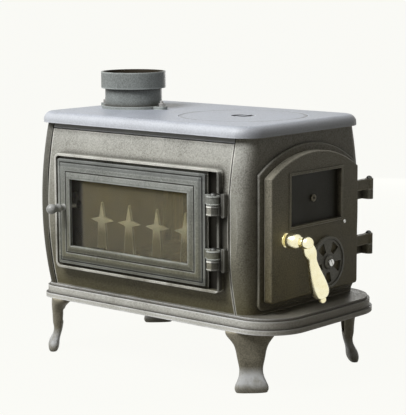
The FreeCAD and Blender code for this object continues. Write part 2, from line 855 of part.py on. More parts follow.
def door_slab(inset, y0, y1, radius):
    return front_slab(*door_rect(inset), y0, y1, radius)


rebate_floor = door_back - clip_thickness - glass_thickness - seal_thickness
glass_inset = window_inset - glass_overlap
frame = fused([door_slab(0, door_back, door_edge, door_corner_radius),
               front_frustum(*door_rect(door_rim_flat), door_edge, door_band, door_slope_width),
               front_frustum(*door_rect(band_inset), door_band, door_lip, door_lip_slope)])
frame = frame.cut(door_slab(window_inset, door_back + overrun, door_lip - overrun, 0))
for inset, face in ((door_rim_flat, door_edge), (band_inset - door_groove_width, door_band)):
    # Narrow channel that parts two steps of the moulding
    groove = door_slab(inset, face + door_groove_depth, face - overrun, 0)
    frame = frame.cut(groove.cut(door_slab(inset + door_groove_width, face + overrun, face - 2 * overrun, 0)))
frame = frame.cut(door_slab(glass_inset - glass_play, door_back + overrun, rebate_floor, 0))
rope_floor = door_back - rope_depth
rope_back = landing_y - joint_gap


def rope_ring(y0, y1):
    return door_slab(rope_inset, y0, y1, door_corner_radius).cut(
        door_slab(rope_inset + rope_width, y0 + overrun, y1 - overrun, 0))


pieces["front_door_rope"] = rope_ring(rope_back, rope_floor)
glass_left, glass_right, glass_bottom, glass_top = door_rect(glass_inset)
glass_front = rebate_floor + seal_thickness
glass_back = glass_front + glass_thickness
pieces["door_glass"] = door_slab(glass_inset, glass_front, glass_back, 0)
pieces["glass_seal"] = door_slab(glass_inset, rebate_floor, glass_front, 0).cut(
    door_slab(window_inset, rebate_floor - overrun, glass_front + overrun, 0))

clips = []
clip_screws = []
window_middle = (glass_left + glass_right) / 2
clip_x_share = 0.27
clip_reach = (glass_right - glass_left) * clip_x_share
for edge_z, out in ((glass_top, 1), (glass_bottom, -1)):
    for x in (window_middle - clip_reach, window_middle + clip_reach):
        def clip_block(y1, margin):
            return block(x - clip_length / 2 - margin, x + clip_length / 2 + margin, glass_back, y1,
                         edge_z - out * clip_width / 2, edge_z + out * (clip_width / 2 + margin))
        screw_z = edge_z + out * (clip_width / 2 + glass_play) / 2
        shank = rod(V(x, rebate_floor, screw_z), V(0, 1, 0), clip_screw_radius, door_back - rebate_floor)
        head = aimed(dome(clip_head_radius, clip_head_height), V(x, door_back, screw_z), V(0, 1, 0))
        hole = rod(V(x, rebate_floor, screw_z), V(0, 1, 0), clip_screw_radius + bolt_clearance,
                   door_back - rebate_floor + overrun)
        frame = frame.cut(clip_block(door_back + overrun, joint_gap)).cut(hole)
        clips.append(clip_block(door_back, 0).cut(hole))
        clip_screws.append(shank.fuse(head))
pieces["glass_clips"] = Part.makeCompound(clips)
pieces["clip_screws"] = Part.makeCompound(clip_screws)

for z in front_pairs:
    low = z + knuckle_play / 2
    high = z + knuckle_height
    strap = block(door_right - door_rim_flat, hinge_x, door_back, door_edge, low, high)
    frame = fused([frame, rod(V(hinge_x, hinge_y, low), V(0, 0, 1), barrel_radius, high - low), strap])
    frame = frame.cut(pin_hole(hinge_x, hinge_y, z, knuckle_height))
frame = frame.cut(rope_ring(door_back + overrun, rope_floor))
frame = frame.cut(rod(V(knob_x, door_lip, knob_z), V(0, 1, 0), knob_spindle_radius + pin_clearance,
                      door_back - door_lip + overrun))
pieces["front_door_frame"] = frame

# Turned knob, its spindle, the latch tongue behind the panel and its nut
knob_shares = ((0.0, 0.62), (0.05, 0.66), (0.10, 0.56), (0.20, 0.60), (0.36, 0.86), (0.48, 0.74), (0.56, 0.76),
               (0.76, 1.0), (0.92, 0.76), (1.0, 0.0))
tongue_front = pad_back + tongue_gap
tongue_back = tongue_front + tongue_thickness
knob_foot = V(knob_x, door_band - joint_gap, knob_z)
knob = turned([(height * knob_length, radius * knob_radius) for height, radius in knob_shares], True)
knob_spindle = rod(knob_foot, V(0, 1, 0), knob_spindle_radius, tongue_back + nut_height - knob_foot.y)
pieces["front_knob"] = fused([aimed(knob, knob_foot, V(0, -1, 0)), knob_spindle])
spindle_room = rod(knob_foot, V(0, 1, 0), knob_spindle_radius + pin_clearance,
                   tongue_back + 2 * nut_height - knob_foot.y)
tongue = block(knob_x - tongue_half_width, knob_x + tongue_half_width, tongue_front, tongue_back, knob_z,
               knob_z + front_tongue_length)
tongue_eye = rod(V(knob_x, tongue_front, knob_z), V(0, 1, 0), 2 * tongue_half_width - joint_gap - overrun / 2,
                 tongue_thickness)
pieces["front_latch"] = fused([tongue, tongue_eye]).cut(spindle_room)
pieces["front_latch_nut"] = hexagon(V(knob_x, tongue_back, knob_z), V(0, 1, 0), nut_radius - tongue_gap,
                                    nut_height).cut(spindle_room)


# Arched end door: sunk panel with a low raised frame, air slots and hinge straps

def air_slot(x0, x1, angle):
    # One fan-shaped air slot about the spinner's axis
    def at(radius, degrees):
        turn = math.radians(degrees)
        return V(x0, spinner_y + radius * math.cos(turn), spinner_z + radius * math.sin(turn))
    low = angle - air_slot_half_angle
    high = angle + air_slot_half_angle
    edges = [Part.makeLine(at(air_slot_inner, low), at(air_slot_outer, low)),
             Part.Arc(at(air_slot_outer, low), at(air_slot_outer, angle), at(air_slot_outer, high)).toShape(),
             Part.makeLine(at(air_slot_outer, high), at(air_slot_inner, high)),
             Part.Arc(at(air_slot_inner, high), at(air_slot_inner, angle), at(air_slot_inner, low)).toShape()]
    return prism(edges, V(x1 - x0, 0, 0))


def end_rope_ring(x0, x1):
    outer = arch_slab(x0, x1, rope_inset, end_corner_radius)
    return outer.cut(arch_slab(x0 - overrun, x1 + overrun, rope_inset + rope_width, end_corner_radius))


slot_angles = [90 + i * 360 / air_slots for i in range(air_slots)]
pocket_floor = end_back + back_pocket_depth
recess_floor = end_front - recess_depth
frame_face = end_front + recess_frame_rise
door = arch_slab(end_back, end_front, 0, end_corner_radius)
door = door.makeFillet(end_edge_radius, edges_at_x(door, end_front))
door = fused([door, block(recess_floor, frame_face, -recess_half_width - recess_frame,
                          recess_half_width + recess_frame, recess_bottom - recess_frame,
                          recess_top + recess_frame)])
door = door.cut(block(recess_floor, frame_face + overrun, -recess_half_width, recess_half_width, recess_bottom,
                      recess_top))
door = door.cut(arch_slab(end_back - overrun, pocket_floor, back_pocket_inset, end_corner_radius))
door = door.cut(end_rope_ring(end_back - overrun, end_back + rope_depth))
pieces["end_door_rope"] = end_rope_ring(surround_face + joint_gap, end_back + rope_depth)
for angle in slot_angles:
    door = door.cut(air_slot(end_back, end_front + overrun, angle))
for z in end_pairs:
    low = z + knuckle_play / 2
    high = z + end_knuckle_height
    strap = block(end_hinge_x - end_strap_thickness / 2, end_hinge_x + end_strap_thickness / 2,
                  end_half_width - end_landing, end_hinge_y, low, high)
    door = fused([door, rod(V(end_hinge_x, end_hinge_y, low), V(0, 0, 1), knuckle_radius, high - low), strap])
    door = door.cut(pin_hole(end_hinge_x, end_hinge_y, z, end_knuckle_height))

# Liner: a cast heat shield on bosses, held by a ring-headed bolt and a small screw
liner_back = pocket_floor - liner_stand_off - liner_thickness
liner_front = liner_back + liner_thickness
bolt_place = V(liner_back, liner_bolt_y, liner_bolt_z)
screw_place = V(liner_back, liner_screw_y, liner_screw_z)
liner = fused([block(liner_back, liner_front, liner_left, liner_right, liner_bottom, liner_top)]
              + [rod(place, V(1, 0, 0), liner_boss_radius, pocket_floor - liner_back)
                 for place in (bolt_place, screw_place)])
for place, radius in ((bolt_place, liner_bolt_radius), (screw_place, liner_screw_radius)):
    hole = rod(place, V(1, 0, 0), radius + bolt_clearance, end_front + overrun - liner_back)
    door = door.cut(hole)
    liner = liner.cut(hole)
pieces["end_door_liner"] = liner
ring_head = rod(V(recess_floor, liner_bolt_y, liner_bolt_z), V(1, 0, 0), liner_head_radius, liner_head_height)
ring_head = ring_head.cut(rod(V(recess_floor + liner_head_height / 2, liner_bolt_y, liner_bolt_z), V(1, 0, 0),
                              liner_socket_radius, liner_head_height))
pieces["liner_bolt"] = rod(bolt_place, V(1, 0, 0), liner_bolt_radius, recess_floor - liner_back).fuse(ring_head)
screw_head = aimed(dome(liner_screw_head, clip_head_height), V(end_front, liner_screw_y, liner_screw_z),
                   V(1, 0, 0))
screw_shank = rod(screw_place, V(1, 0, 0), liner_screw_radius, end_front - liner_back)
pieces["liner_screw"] = screw_shank.fuse(screw_head)

# Air spinner on its screw, shut at rest
spinner_back = end_front + spinner_gap
spinner_face = spinner_back + spinner_thickness
hub_face = spinner_face + spinner_hub_rise


def on_spinner(x, radius, length):
    return rod(V(x, spinner_y, spinner_z), V(1, 0, 0), radius, length)


rim_ring = on_spinner(spinner_face, spinner_radius, spinner_rim_rise).cut(
    on_spinner(spinner_face, spinner_radius - spinner_rim_width, spinner_rim_rise))
hub_ring = on_spinner(spinner_face, spinner_hub_radius, spinner_hub_rise)
hub_ring = hub_ring.makeChamfer(spinner_hub_rise / 2, edges_at_x(hub_ring, hub_face))
spinner = fused([on_spinner(spinner_back, spinner_radius, spinner_thickness), rim_ring, hub_ring])
for angle in slot_angles:
    spinner = spinner.cut(air_slot(end_front, hub_face, angle + air_open_angle))
pieces["air_spinner"] = spinner.cut(on_spinner(end_front, spinner_screw_radius + pin_clearance, hub_face))
door = door.cut(on_spinner(end_back, spinner_screw_radius + bolt_clearance, end_front))
head_foot = hub_face + joint_gap
pieces["spinner_screw"] = fused([on_spinner(pocket_floor, spinner_screw_radius, head_foot - pocket_floor),
                                 aimed(dome(spinner_head_radius, spinner_head_height),
                                       V(head_foot, spinner_y, spinner_z), V(1, 0, 0))])


# Lever handle: bush in the door, brass spindle with its hub and ball, turned grip, tongue and nut

def on_handle(x, radius, length):
    return rod(V(x, handle_y, handle_z), V(1, 0, 0), radius, length)


door = door.cut(on_handle(end_back, bush_radius + bolt_clearance, end_front))
bush_face = end_front + bush_flange
bush = on_handle(pocket_floor, bush_radius, end_front - pocket_floor).fuse(
    on_handle(end_front, bush_flange_radius, bush_flange))
pieces["handle_bush"] = bush.cut(on_handle(end_back, spindle_radius + pin_clearance, bush_face))
pieces["end_door"] = door

end_tongue_front = body_half_width - wall - tongue_gap
end_tongue_back = end_tongue_front - tongue_thickness
spindle_end = end_tongue_back - nut_height
hub_foot = bush_face + joint_gap
hub_shares = ((0.0, 0.66), (0.08, 0.72), (0.22, 0.92), (0.5, 1.0), (0.78, 0.90), (0.93, 0.70), (1.0, 0.6))
ball_centre = V(end_front + ball_reach, handle_y, handle_z)
hub = turned([(height * hub_length, radius * hub_radius) for height, radius in hub_shares], True)
pieces["handle_spindle"] = fused([on_handle(spindle_end, spindle_radius, ball_centre.x - spindle_end),
                                  aimed(hub, V(hub_foot, handle_y, handle_z), V(1, 0, 0)),
                                  Part.makeSphere(ball_radius, ball_centre)])

grip_shares = ((0.05, 0.62), (0.13, 0.74), (0.20, 0.72), (0.26, 0.60), (0.36, 0.58), (0.52, 0.76), (0.70, 0.97),
               (0.78, 1.0), (0.85, 0.90), (0.895, 0.62), (0.91, 0.40), (0.95, 0.42), (0.985, 0.30), (1.0, 0.0))
grip_turn = math.radians(grip_tilt)
grip = turned([(height * grip_length, radius * grip_radius) for height, radius in grip_shares], True)
grip = aimed(grip, ball_centre, V(0, math.sin(grip_turn), -math.cos(grip_turn)))
pieces["handle_grip"] = grip.cut(Part.makeSphere(ball_radius + pin_clearance, ball_centre))

spindle_room = on_handle(spindle_end - overrun, spindle_radius + pin_clearance, end_front - spindle_end)
end_tongue = block(end_tongue_back, end_tongue_front, handle_y - end_tongue_length, handle_y,
                   handle_z - tongue_half_width, handle_z + tongue_half_width)
end_tongue_eye = on_handle(end_tongue_back, spindle_radius + tongue_half_width, tongue_thickness)
end_tongue = fused([end_tongue, end_tongue_eye])
end_tongue.rotate(V(0, handle_y, handle_z), V(1, 0, 0), latched_angle)
pieces["end_latch"] = end_tongue.cut(spindle_room)
latch_nut = hexagon(V(spindle_end, handle_y, handle_z), V(1, 0, 0), nut_radius, nut_height)
pieces["latch_nut"] = latch_nut.cut(spindle_room)


# Loose inner castings: grate on feet, ribbed rear burn plate, baffle and log guard

grate_bottom = grate_top - grate_thickness
grate = block(-grate_half_width, grate_half_width, -grate_front, grate_back, grate_bottom, grate_top)
slot_pitch = 2 * (grate_half_width - grate_border) / grate_slots
grate_middle = (grate_back - grate_front) / 2
for i in range(grate_slots):
    x = -grate_half_width + grate_border + (i + 1 / 2) * slot_pitch
    for y0, y1 in ((grate_border - grate_front, grate_middle - grate_rib / 2),
                   (grate_middle + grate_rib / 2, burn_front - grate_border)):
        grate = grate.cut(block(x - grate_slot_width / 2, x + grate_slot_width / 2, y0, y1,
                                grate_bottom - overrun, grate_top + overrun))
feet = []
for side_x in (-1, 1):
    x0 = side_x * grate_half_width
    foot_front = grate_foot_inset - grate_front
    for y0, y1 in ((foot_front, foot_front + grate_foot), (grate_back - grate_foot, grate_back)):
        feet.append(block(x0, x0 - side_x * grate_foot, y0, y1, base_top, grate_bottom))
pieces["fire_grate"] = fused([grate] + feet)

burn_back = burn_front + burn_thickness
burn_plate = block(-burn_half_width, burn_half_width, burn_front, burn_back, grate_top, burn_top)
rib_pitch = 2 * burn_half_width / burn_ribs
ribs = [block((i + 1 / 2) * rib_pitch - burn_half_width - burn_rib_width / 2,
              (i + 1 / 2) * rib_pitch - burn_half_width + burn_rib_width / 2,
              burn_front - burn_rib_depth, burn_front, grate_top, burn_top) for i in range(burn_ribs)]
pieces["rear_burn_plate"] = fused([burn_plate] + ribs)
pieces["baffle_plate"] = block(baffle_left, baffle_right, -baffle_half_depth, baffle_half_depth, baffle_bottom,
                               baffle_bottom + baffle_thickness)


def guard_plate(points):
    # Flat cast shape of the log guard from (x, z) points
    corners = [V(x, guard_front, z) for x, z in points]
    return prism([Part.makeLine(a, b) for a, b in zip(corners, corners[1:] + corners[:1])],
                 V(0, guard_thickness, 0))


rail_top = grate_top + guard_rail_height
guard = [block(-guard_half_width, guard_half_width, guard_front, guard_front + guard_thickness, grate_top,
               rail_top)]
for i in range(pickets):
    x = picket_middle + (i - (pickets - 1) / 2) * picket_pitch
    guard.append(guard_plate([(x - post_foot_half_width, rail_top), (x + post_foot_half_width, rail_top),
                              (x + post_half_width, star_z), (x - post_half_width, star_z)]))
    guard.append(guard_plate([(x, star_z + star_up), (x + star_waist, star_z + star_waist),
                              (x + star_side, star_z),
                              (x + star_waist, star_z - star_waist), (x, star_z - star_up),
                              (x - star_waist, star_z - star_waist), (x - star_side, star_z),
                              (x - star_waist, star_z + star_waist)]))
pieces["log_guard"] = fused(guard)


# Place the origin on the floor under the middle of the whole stove, and write every piece

whole = Part.makeCompound(list(pieces.values())).optimalBoundingBox()
to_origin = V(-(whole.XMin + whole.XMax) / 2, -(whole.YMin + whole.YMax) / 2, -whole.ZMin)
print("moved by", to_origin, "size", whole.XLength, whole.YLength, whole.ZLength)
os.makedirs("parts", exist_ok=True)
for name, shape in pieces.items():
    shape.translate(to_origin)
    shape.exportStep("parts/" + name + ".step")
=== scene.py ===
import math
import bpy
import bmesh
from mathutils import Matrix, Vector


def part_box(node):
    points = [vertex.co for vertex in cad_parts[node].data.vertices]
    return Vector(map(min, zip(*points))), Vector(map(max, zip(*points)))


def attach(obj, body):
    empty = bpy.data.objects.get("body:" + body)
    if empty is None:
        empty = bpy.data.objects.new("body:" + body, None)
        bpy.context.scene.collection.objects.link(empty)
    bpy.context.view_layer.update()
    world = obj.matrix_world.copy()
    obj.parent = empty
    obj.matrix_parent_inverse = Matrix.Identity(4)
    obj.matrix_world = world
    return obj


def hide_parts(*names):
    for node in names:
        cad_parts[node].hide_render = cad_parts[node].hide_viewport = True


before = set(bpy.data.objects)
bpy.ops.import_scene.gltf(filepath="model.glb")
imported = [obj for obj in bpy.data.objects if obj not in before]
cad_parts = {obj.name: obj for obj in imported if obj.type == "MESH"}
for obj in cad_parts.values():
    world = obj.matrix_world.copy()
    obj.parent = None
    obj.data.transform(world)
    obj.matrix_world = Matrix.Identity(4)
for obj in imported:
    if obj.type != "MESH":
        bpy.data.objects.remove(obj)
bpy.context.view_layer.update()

# Base plate: a sand-cast iron tray with a stepped moulding all round and an ash lip at the
# loading end. It carries the four body panels and is brushed with stove black, coloured paler
# than the body's as painted light, worn pale with a painted highlight on its outer edges, and
# darkened in its inner corners by soot and painted shade.


def new_finish(name):
    # Material with its node tree, the sockets of its shader and its coordinates
    finish = bpy.data.materials.new(name)
    finish.use_nodes = True
    tree = finish.node_tree
    place = tree.nodes.new("ShaderNodeTexCoord").outputs
    return finish, tree, tree.nodes["Principled BSDF"].inputs, place


def noise(tree, place, scale, detail, rough):
    cloud = tree.nodes.new("ShaderNodeTexNoise")
    cloud.inputs["Scale"].default_value = scale
    cloud.inputs["Detail"].default_value = detail
    cloud.inputs["Roughness"].default_value = rough
    tree.links.new(place["Object"], cloud.inputs["Vector"])
    return cloud.outputs["Fac"]


def ramp(tree, value, *two_stops):
    # Colour that runs from one stop to the other, each a value and its colour
    band = tree.nodes.new("ShaderNodeValToRGB")
    for element, (at, colour) in zip(band.color_ramp.elements, two_stops):
        element.position = at
        element.color = (*colour, 1.0)
    tree.links.new(value, band.inputs["Fac"])
    return band.outputs["Color"]


def span(tree, value, source, result=(0.0, 1.0)):
    # Turns the stretch of a value between the two ends of source into that of result
    stretch = tree.nodes.new("ShaderNodeMapRange")
    for side, (first, last) in (("From", source), ("To", result)):
        stretch.inputs[side + " Min"].default_value = first
        stretch.inputs[side + " Max"].default_value = last
    tree.links.new(value, stretch.inputs["Value"])
    return stretch.outputs["Result"]


def blend(tree, share, under, over, kind="MIX"):
    # Sockets 6 and 7 of the mix node are its two colours, and its third output is the mixed one
    both = tree.nodes.new("ShaderNodeMix")
    both.data_type = "RGBA"
    both.blend_type = kind
    tree.links.new(share, both.inputs["Factor"])
    for colour, socket in ((under, both.inputs[6]), (over, both.inputs[7])):
        if isinstance(colour, tuple):
            socket.default_value = (*colour, 1.0)
        else:
            tree.links.new(colour, socket)
    return both.outputs[2]


def combine(tree, operation, first, second):
    joined = tree.nodes.new("ShaderNodeMath")
    joined.operation = operation
    tree.links.new(first, joined.inputs[0])
    tree.links.new(second, joined.inputs[1])
    return joined.outputs["Value"]


def vectors(tree, operation, first, second=None):
    # Outputs of a vector operation, whose second vector is a constant
    joined = tree.nodes.new("ShaderNodeVectorMath")
    joined.operation = operation
    tree.links.new(first, joined.inputs[0])
    if second is not None:
        joined.inputs[1].default_value = second
    return joined.outputs


def axes(tree, vector):
    parts = tree.nodes.new("ShaderNodeSeparateXYZ")
    tree.links.new(vector, parts.inputs["Vector"])
    return parts.outputs


def bump(tree, height, strength, depth, under=None):
    relief = tree.nodes.new("ShaderNodeBump")
    relief.inputs["Strength"].default_value = strength
    relief.inputs["Distance"].default_value = depth
    tree.links.new(height, relief.inputs["Height"])
    if under is not None:
        tree.links.new(under, relief.inputs["Normal"])
    return relief.outputs["Normal"]


def openness(tree, inside, reach):
    # One on a flat, less near an outer edge (inside) or in an inner corner (not inside)
    near = tree.nodes.new("ShaderNodeAmbientOcclusion")
    near.samples = 6
    near.inside = inside
    near.only_local = True
    near.inputs["Distance"].default_value = reach
    return near.outputs["AO"]


def scaled(colour, share):
    return tuple(min(1.0, share * c) for c in colour)


def between(first, last, share):
    return tuple(a + share * (b - a) for a, b in zip(first, last))


soot = (0.060, 0.048, 0.028)
corner_soot_and_shade = (0.055, 0.050, 0.040)
low_shade_brown = (1.0, 0.905, 0.58)
corner_reach = 0.013
edge_rounding = 0.0014
pit_depth = 0.0011
wave_strength, wave_depth = 0.12, 0.004


def heat_fade_and_shade(tree, place, colour, low, high, least):
    # Darker towards the bottom, as painted shade and as stove black paled by heat higher up:
    # darkest at the height low, unchanged from high up
    share = span(tree, axes(tree, place["Object"])["Z"], (low, high), (1.0, 0.0))
    return blend(tree, share, colour, scaled(low_shade_brown, least), "MULTIPLY")


def cast_iron(name, pale, dark, roughness, grain,
              fire_side=None, sheen=0.2, fade_and_shade=None, wear_and_highlight=0.0035):
    # Blacked casting: sand grain, slow unevenness, outer edges pale as far in as
    # wear_and_highlight, worn and with a painted highlight, and inner corners darkened with soot
    # and painted shade.
    # Faces that look towards the fire, along fire_side, are brown with soot, and fade_and_shade
    # holds the two heights and the least share of colour for heat_fade_and_shade
    finish, tree, look, place = new_finish(name)
    sand = noise(tree, place, scale=370.0, detail=5.0, rough=0.72)
    patch = noise(tree, place, scale=17.0, detail=5.0, rough=0.6)
    low = ramp(tree, patch, (0.3, dark), (0.7, between(dark, pale, 0.5)))
    high = ramp(tree, patch, (0.3, between(dark, pale, 0.75)), (0.7, pale))
    colour = blend(tree, span(tree, sand, (0.385, 0.595)), low, high)
    if fade_and_shade:
        colour = heat_fade_and_shade(tree, place, colour, *fade_and_shade)
    # Outer edges pale: wear, and a painted highlight
    edges = span(tree, openness(tree, True, wear_and_highlight), (0.97, 0.62), (0.0, 0.9))
    rubbed_and_highlit = combine(tree, "MULTIPLY", edges, span(tree, patch, (0.35, 0.6), (0.35, 1.0)))
    colour = blend(tree, rubbed_and_highlit, colour, scaled(pale, 1.6))
    # Inner corners dark: soot, and painted shade
    shaded_corners = span(tree, openness(tree, False, corner_reach), (0.97, 0.52), (0.0, 0.9))
    colour = blend(tree, shaded_corners, colour, corner_soot_and_shade)
    if fire_side:
        facing = vectors(tree, "DOT_PRODUCT", place["Normal"], fire_side)["Value"]
        burnt = ramp(tree, patch, (0.3, soot), (0.7, scaled(soot, 2.2)))
        colour = blend(tree, span(tree, facing, (0.2, 0.5)), colour, burnt)
    tree.links.new(colour, look["Base Color"])
    tree.links.new(span(tree, patch, (0.3, 0.7), (roughness - 0.06, roughness + 0.08)),
                   look["Roughness"])
    rounded = tree.nodes.new("ShaderNodeBevel")
    rounded.samples = 4
    rounded.inputs["Radius"].default_value = edge_rounding
    pits = bump(tree, sand, grain, pit_depth, rounded.outputs["Normal"])
    waves = bump(tree, patch, wave_strength, wave_depth, pits)
    tree.links.new(waves, look["Normal"])
    look["Specular IOR Level"].default_value = sheen
    return finish


def paint(finish, *names):
    for name in names:
        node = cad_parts[name]
        node.data.materials.clear()
        node.data.materials.append(finish)


base_black = cast_iron("base_black", pale=(0.78, 0.765, 0.70), dark=(0.42, 0.405, 0.355),
                       roughness=0.46, grain=0.6)
paint(base_black, "base_plate")

# Legs: four cabriole corner legs, cast hollow at the back and bolted up through a pad into the
# base. The blacking is paler on the feet, fading out between 30 and 48 mm up, and less pale at the
# very sole.


def reopen(finish):
    # Node tree, colour socket and coordinates of a finish that takes one more coat
    tree = finish.node_tree
    coat = tree.nodes["Principled BSDF"].inputs["Base Color"]
    return tree, coat, tree.nodes.new("ShaderNodeTexCoord").outputs


def lay_over(tree, coat, share, colour, kind="MIX"):
    tree.links.new(blend(tree, share, coat.links[0].from_socket, colour, kind), coat)


feet_pale_end, feet_pale_full = 0.048, 0.030
sole_top, sole_dark = 0.018, 0.008
leg_black = cast_iron("leg_black", pale=(0.34, 0.31, 0.235), dark=(0.125, 0.113, 0.082),
                      roughness=0.46, grain=0.6)
tree, coat, place = reopen(leg_black)
height = axes(tree, place["Object"])["Z"]
pale_feet = combine(tree, "MULTIPLY", span(tree, height, (feet_pale_end, feet_pale_full)),
                  span(tree, height, (sole_dark, sole_top), (0.25, 1.0)))
uneven = span(tree, noise(tree, place, scale=70.0, detail=4.0, rough=0.6),
              (0.3, 0.55), (0.35, 0.9))
lay_over(tree, coat, combine(tree, "MULTIPLY", pale_feet, uneven), (0.58, 0.585, 0.585))
paint(leg_black, "leg_front_left", "leg_front_right", "leg_rear_left", "leg_rear_right")

# Frame bolts and hinge pins: plain mild steel, turned or hexagon headed, dulled by heat. They
# hold the legs, base, end castings and top together from inside, and the pins drop into the
# knuckles from above and are blacked over with the stove.


def plain_steel(name, colour, roughness):
    finish, tree, look, place = new_finish(name)
    haze = noise(tree, place, scale=160.0, detail=4.0, rough=0.6)
    tree.links.new(ramp(tree, haze, (0.3, scaled(colour, 0.6)), (0.7, colour)), look["Base Color"])
    tree.links.new(span(tree, haze, (0.0, 1.0), (roughness - 0.1, roughness + 0.1)),
                   look["Roughness"])
    look["Metallic"].default_value = 1.0
    return finish


heat_steel = plain_steel("heat_steel", (0.40, 0.39, 0.38), roughness=0.42)
pin_steel = plain_steel("pin_steel", (0.13, 0.13, 0.125), roughness=0.5)
paint(heat_steel, "leg_bolts", "base_bolts", "top_bolts")
paint(pin_steel, "front_hinge_pins", "end_hinge_pins")

# Body panels: flat end castings with rolled corners, and a bowed front and rear that slip
# behind their lips. They are sand cast, bedded in fire cement, and blacked outside only, so
# the sides that face the fire are brown with soot.
# The panels are painted darker towards the bottom, as shade, through fade_and_shade
body_black = {}
for panel, inward in (("left_end_panel", (1, 0, 0)), ("right_end_panel", (-1, 0, 0)),
                      ("front_panel", (0, 1, 0)), ("rear_panel", (0, -1, 0))):
    body_black[panel] = cast_iron(
        panel.replace("panel", "black"), pale=(0.58, 0.572, 0.525), dark=(0.22, 0.213, 0.185),
        roughness=0.46, grain=0.75, fire_side=inward, sheen=0.16, fade_and_shade=(0.15, 0.45, 0.345))
    paint(body_black[panel], panel)

blur = 0.0006


def in_box(tree, place, low, high):
    # One inside a box of the piece's own space, nought outside it
    spot = axes(tree, place["Object"])
    share = None
    for axis, near, far in zip("XYZ", low, high):
        for edge, result in ((near, (0.0, 1.0)), (far, (1.0, 0.0))):
            step = span(tree, spot[axis], (edge - blur, edge + blur), result)
            share = step if share is None else combine(tree, "MULTIPLY", share, step)
    return share


def darken_in(finish, colour, *boxes, most=1.0):
    # Lays a dark coat, at most so thick, on what lies inside the boxes
    tree, coat, place = reopen(finish)
    for low, high in boxes:
        share = span(tree, in_box(tree, place, low, high), (0.0, 1.0), (0.0, most))
        lay_over(tree, coat, share, colour)


def shaded_facing(finish, axis, first, full, shade):
    # Painted shade: dulls the faces that look along an axis, from a first share of it to the full
    # coat
    tree, coat, place = reopen(finish)
    facing = vectors(tree, "DOT_PRODUCT", place["Normal"], axis)["Value"]
    lay_over(tree, coat, span(tree, facing, (first, full)), shade, "MULTIPLY")


seam_and_shade_black = (0.020, 0.018, 0.014)
shadow_grey = (0.035, 0.034, 0.030)
landing, panel_back, panel_front = -0.1590, -0.140, -0.22
rim_low, rim_high = 0.1866, 0.4040
channel_left, channel_right, rim_right = 0.1462, 0.1740, 0.1915
hinge_channel = (channel_left, landing, rim_low), (channel_right, panel_back, rim_high)
hinge_side = (channel_right, panel_front, rim_low), (rim_right, landing, rim_high)
window_reveal = (-0.2255, landing, 0.2010), (0.1365, panel_back, 0.3895)
# Painted shade in the hinge channel and the window reveal, and lighter painted shade on the hinge
# side of the rim
darken_in(body_black["front_panel"], seam_and_shade_black, hinge_channel, window_reveal)
darken_in(body_black["front_panel"], shadow_grey, hinge_side, most=0.75)
for panel, lip_left, lip_right in (("left_end_panel", -0.2747, -0.2600),
                                   ("right_end_panel", 0.1810, 0.1947)):
    lip = (lip_left, -0.25, 0.10), (lip_right, 0.25, 0.48)
    darken_in(body_black[panel], seam_and_shade_black, lip)
# Painted shade on the outward faces of both end panels
shaded_facing(body_black["right_end_panel"], (1, 0, 0), first=0.60, full=0.97, shade=(0.56, 0.54, 0.51))
shaded_facing(body_black["left_end_panel"], (-1, 0, 0), first=-0.2, full=0.0, shade=(0.36, 0.355, 0.34))
# Painted shade on the base faces towards the loading end and on its upward faces
shaded_facing(base_black, (1, 0, 0), first=0.1, full=0.8, shade=(0.52, 0.50, 0.48))
shaded_facing(base_black, (0, 0, 1), first=0.7, full=0.97, shade=(0.26, 0.25, 0.23))

# Inner castings: grate, rear burn plate, baffle and the end door's heat shield, loose plates
# of raw iron that lie on lugs inside the body. The fire has burnt them brown.
soot_iron = cast_iron("soot_iron", pale=(0.20, 0.16, 0.095), dark=(0.06, 0.048, 0.030),
                      roughness=0.8, grain=0.5)
paint(soot_iron, "fire_grate", "rear_burn_plate", "baffle_plate", "end_door_liner")

# Log guard: a cast rail with four star-headed pickets that stands behind the glass and keeps
# logs off it. Its pickets are painted dark below the star heads, as shade low in the firebox, so
# the points are the palest thing inside.
guard_iron = cast_iron("guard_iron", pale=(0.52, 0.565, 0.65), dark=(0.325, 0.355, 0.41),
                       roughness=0.55, grain=0.4, sheen=0.3, fade_and_shade=(0.255, 0.288, 0.10),
                       wear_and_highlight=0.001)
paint(guard_iron, "log_guard")

# Top plate and hot plate: smoother castings, ground on top and rubbed with graphite blacking,
# so that they take a cool sheen, which their pale bluish colour partly paints in. The round plate
# lifts out of its ledge by the bar in its pocket.
top_black = cast_iron("top_black", pale=(0.515, 0.54, 0.605), dark=(0.25, 0.266, 0.305),
                      roughness=0.40, grain=0.4, fire_side=(0, 0, -1), sheen=0.45, wear_and_highlight=0.003)
# Painted highlight on the rolled edges of the top, between flat and upright
tree, coat, place = reopen(top_black)
upward = axes(tree, place["Normal"])["Z"]
rolled_edge_highlight = combine(tree, "MULTIPLY", span(tree, upward, (0.98, 0.70), (0.0, 0.45)),
                      span(tree, upward, (-0.6, -0.2)))
lay_over(tree, coat, rolled_edge_highlight, (0.74, 0.75, 0.765))
# Painted shade on the faces of the top that look towards the loading end
shaded_facing(top_black, (1, 0, 0), first=0.15, full=0.8, shade=(0.58, 0.58, 0.59))
paint(top_black, "top_plate")

rim_shade_width = 0.009
plate_low, plate_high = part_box("hot_plate")
plate_middle = (plate_low + plate_high) / 2
plate_radius = (plate_high.x - plate_low.x) / 2
plate_black = top_black.copy()
plate_black.name = "plate_black"
tree, coat, place = reopen(plate_black)
